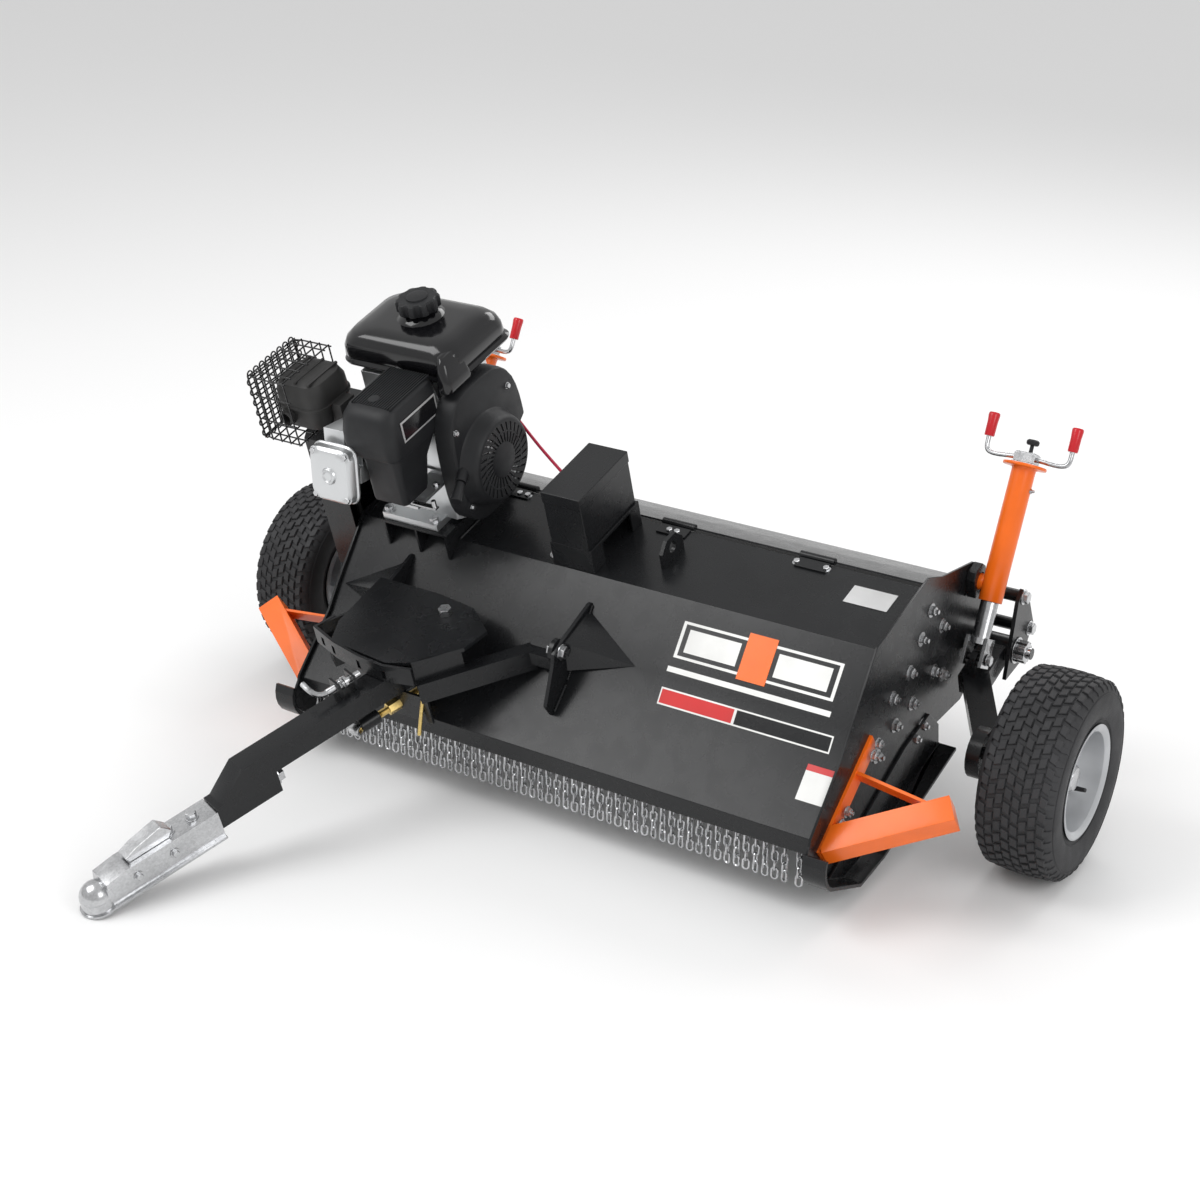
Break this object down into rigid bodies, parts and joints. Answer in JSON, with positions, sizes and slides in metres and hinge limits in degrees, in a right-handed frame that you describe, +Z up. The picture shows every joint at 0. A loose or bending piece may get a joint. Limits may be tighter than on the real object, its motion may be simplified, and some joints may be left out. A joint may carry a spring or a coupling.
{
  "type": "brush mower",
  "caption": "Tow-behind flail mower with side-mounted petrol engine and belt drive, crank-raised wheels, orange wheel guards, chain curtain and offset swinging drawbar with ball coupler.",
  "frame": {"origin": "centre of the footprint of the bounding box, on the ground plane", "axes": "+Z up, -Y the towing direction, +X to the right as seen from the front; the machine stands on its two tyres and its coupler"},
  "size_m": [1.934, 1.5612, 0.9857],
  "materials": {
    "black_paint": "satin black powder coat",
    "orange_paint": "glossy orange powder coat",
    "zinc": "bright zinc plate",
    "yellow_zinc": "yellow zinc plate",
    "cast_alloy": "as-cast alloy",
    "engine_dark": "dark moulded plastic",
    "tank_black": "gloss black",
    "muffler_dark": "dark heat-proof coating",
    "bare_steel": "machined steel",
    "belt_rubber": "moulded rubber",
    "cable_red": "crimson insulation",
    "grip_red": "red moulded grip",
    "rim_grey": "silver-grey paint",
    "tyre_rubber": "turf tyre rubber"
  },
  "bodies": {
    "chassis": {"deck_shell": "black_paint", "side_plate_R": "black_paint", "side_plate_L": "black_paint", "skid_R": "black_paint", "skid_L": "black_paint", "lifting_lug": "black_paint", "belt_cover": "black_paint", "drive_belt": "belt_rubber", "bearing_R": "bare_steel", "bearing_L": "bare_steel", "engine_platform": "black_paint", "engine_block": "cast_alloy", "valve_cover": "cast_alloy", "blower_housing": "engine_dark", "fuel_tank": "tank_black", "air_cleaner": "engine_dark", "muffler": "muffler_dark", "muffler_cage": "black_paint", "battery_tray": "black_paint", "battery_box": "black_paint", "battery_cable": "cable_red", "guard_R": "orange_paint", "guard_L": "orange_paint", "outer_bracket_R": "black_paint", "outer_bracket_L": "black_paint", "trunnion_block_R": "black_paint", "trunnion_block_L": "black_paint", "hitch_bracket_L": "black_paint", "hitch_bracket_R": "black_paint", "hitch_frame": "black_paint", "pivot_bolt": "zinc", "level_screw": "yellow_zinc"},
    "hood": {"rear_hood": "black_paint"},
    "curtain": {"chain_curtain": "zinc"},
    "rotor_shaft": {"rotor": "bare_steel", "rotor_pulley": "bare_steel"},
    "crankshaft": {"engine_pulley": "bare_steel"},
    "recoil_grip": {"recoil_handle": "engine_dark"},
    "tank_cap": {"fuel_cap": "engine_dark"},
    "throttle": {"throttle_lever": "zinc"},
    "towbar": {"drawbar": "black_paint"},
    "locking_pin": {"lock_pin": "zinc"},
    "ball_coupler": {"coupler": "zinc"},
    "latch": {"coupler_latch": "zinc"},
    "jack_R": {"jack_tube_R": "orange_paint"},
    "jack_leg_R": {"jack_inner_R": "zinc"},
    "crank_R": {"jack_crank_R": "zinc", "grip_inner_R": "grip_red", "grip_outer_R": "grip_red"},
    "arm_R": {"wheel_arm_R": "black_paint"},
    "wheel_R": {"tyre_R": "tyre_rubber", "rim_R": "rim_grey"},
    "jack_L": {"jack_tube_L": "orange_paint"},
    "jack_leg_L": {"jack_inner_L": "zinc"},
    "crank_L": {"jack_crank_L": "zinc", "grip_inner_L": "grip_red", "grip_outer_L": "grip_red"},
    "arm_L": {"wheel_arm_L": "black_paint"},
    "wheel_L": {"tyre_L": "tyre_rubber", "rim_L": "rim_grey"}
  },
  "joints": [
    {"name": "crank_turn_R", "type": "hinge", "parent": "jack_R", "child": "crank_R", "pos_m": [0.66, 0.70201, 0.68683], "axis": [0, 0.4433, 0.8964], "range_deg": [-720, 2160]},
    {"name": "jack_tilt_R", "type": "hinge", "parent": "chassis", "child": "jack_R", "pos_m": [0.66, 0.59118, 0.46274], "axis": [1, 0, 0], "range_deg": [-1.27, 3.42]},
    {"name": "jack_slide_R", "type": "slide", "parent": "jack_R", "child": "jack_leg_R", "axis": [0, -0.4433, -0.8964], "range_m": [-0.0102, 0.0302]},
    {"name": "arm_swing_R", "type": "hinge", "parent": "chassis", "child": "arm_R", "pos_m": [0.66, 0.64534, 0.30581], "axis": [1, 0, 0], "range_deg": [-5.05, 14.75]},
    {"name": "wheel_spin_R", "type": "hinge", "parent": "arm_R", "child": "wheel_R", "pos_m": [0.888, 0.38361, 0.203], "axis": [1, 0, 0], "continuous": true},
    {"name": "crank_turn_L", "type": "hinge", "parent": "jack_L", "child": "crank_L", "pos_m": [-0.66, 0.70201, 0.68683], "axis": [0, 0.4433, 0.8964], "range_deg": [-720, 2160]},
    {"name": "jack_tilt_L", "type": "hinge", "parent": "chassis", "child": "jack_L", "pos_m": [-0.66, 0.59118, 0.46274], "axis": [1, 0, 0], "range_deg": [-1.27, 3.42]},
    {"name": "jack_slide_L", "type": "slide", "parent": "jack_L", "child": "jack_leg_L", "axis": [0, -0.4433, -0.8964], "range_m": [-0.0102, 0.0302]},
    {"name": "arm_swing_L", "type": "hinge", "parent": "chassis", "child": "arm_L", "pos_m": [-0.66, 0.64534, 0.30581], "axis": [1, 0, 0], "range_deg": [-5.05, 14.75]},
    {"name": "wheel_spin_L", "type": "hinge", "parent": "arm_L", "child": "wheel_L", "pos_m": [-0.888, 0.38361, 0.203], "axis": [1, 0, 0], "continuous": true},
    {"name": "hood_hinge", "type": "hinge", "parent": "chassis", "child": "hood", "pos_m": [0, 0.37026, 0.53331], "axis": [1, 0, 0], "range_deg": [0, 45]},
    {"name": "curtain_swing", "type": "hinge", "parent": "chassis", "child": "curtain", "pos_m": [0, -0.04041, 0.15733], "axis": [1, 0, 0], "range_deg": [-12, 30]},
    {"name": "rotor_turn", "type": "hinge", "parent": "chassis", "child": "rotor_shaft", "pos_m": [0, 0.29145, 0.31999], "axis": [1, 0, 0], "continuous": true},
    {"name": "engine_turn", "type": "hinge", "parent": "chassis", "child": "crankshaft", "pos_m": [-0.652, 0.20568, 0.65953], "axis": [1, 0, 0], "continuous": true},
    {"name": "recoil_pull", "type": "slide", "parent": "chassis", "child": "recoil_grip", "axis": [0.26, -0.753, -0.6045], "range_m": [0, 0.2], "stiffness_N_per_m": 20, "springref_m": -0.05},
    {"name": "cap_turn", "type": "hinge", "parent": "chassis", "child": "tank_cap", "pos_m": [-0.459, 0.19698, 0.95579], "axis": [0, -0.278, 0.9606], "range_deg": [0, 90]},
    {"name": "throttle_turn", "type": "hinge", "parent": "chassis", "child": "throttle", "pos_m": [-0.378, 0.04215, 0.59868], "axis": [0, -0.278, 0.9606], "range_deg": [-15, 15]},
    {"name": "drawbar_swing", "type": "hinge", "parent": "chassis", "child": "towbar", "pos_m": [-0.262, 0.01334, 0.3457], "axis": [0, -0.278, 0.9606], "range_deg": [-12, 10]},
    {"name": "lock_pull", "type": "slide", "parent": "towbar", "child": "locking_pin", "axis": [-0.309, -0.9136, -0.2644], "range_m": [0, 0.014], "stiffness_N_per_m": 300, "springref_m": -0.02},
    {"name": "coupler_swivel", "type": "hinge", "parent": "towbar", "child": "ball_coupler", "pos_m": [-0.44741, -0.51562, 0.12079], "axis": [-0.309, -0.9136, -0.2644], "range_deg": [-30, 30]},
    {"name": "latch_lift", "type": "hinge", "parent": "ball_coupler", "child": "latch", "pos_m": [-0.47708, -0.60966, 0.11732], "axis": [-0.9511, 0.2968, 0.0859], "range_deg": [0, 40]}
  ],
  "couplings": [
    {"joint": "jack_slide_R", "follows": "crank_turn_R", "m_per_rad": 0.00079577},
    {"joint": "arm_swing_R", "follows": "crank_turn_R", "ratio": 0.0067372},
    {"joint": "jack_tilt_R", "follows": "crank_turn_R", "ratio": 0.0014896},
    {"joint": "jack_slide_L", "follows": "crank_turn_L", "m_per_rad": 0.00079577},
    {"joint": "arm_swing_L", "follows": "crank_turn_L", "ratio": 0.0067372},
    {"joint": "jack_tilt_L", "follows": "crank_turn_L", "ratio": 0.0014896},
    {"joint": "engine_turn", "follows": "rotor_turn", "ratio": 0.9}
  ]
}
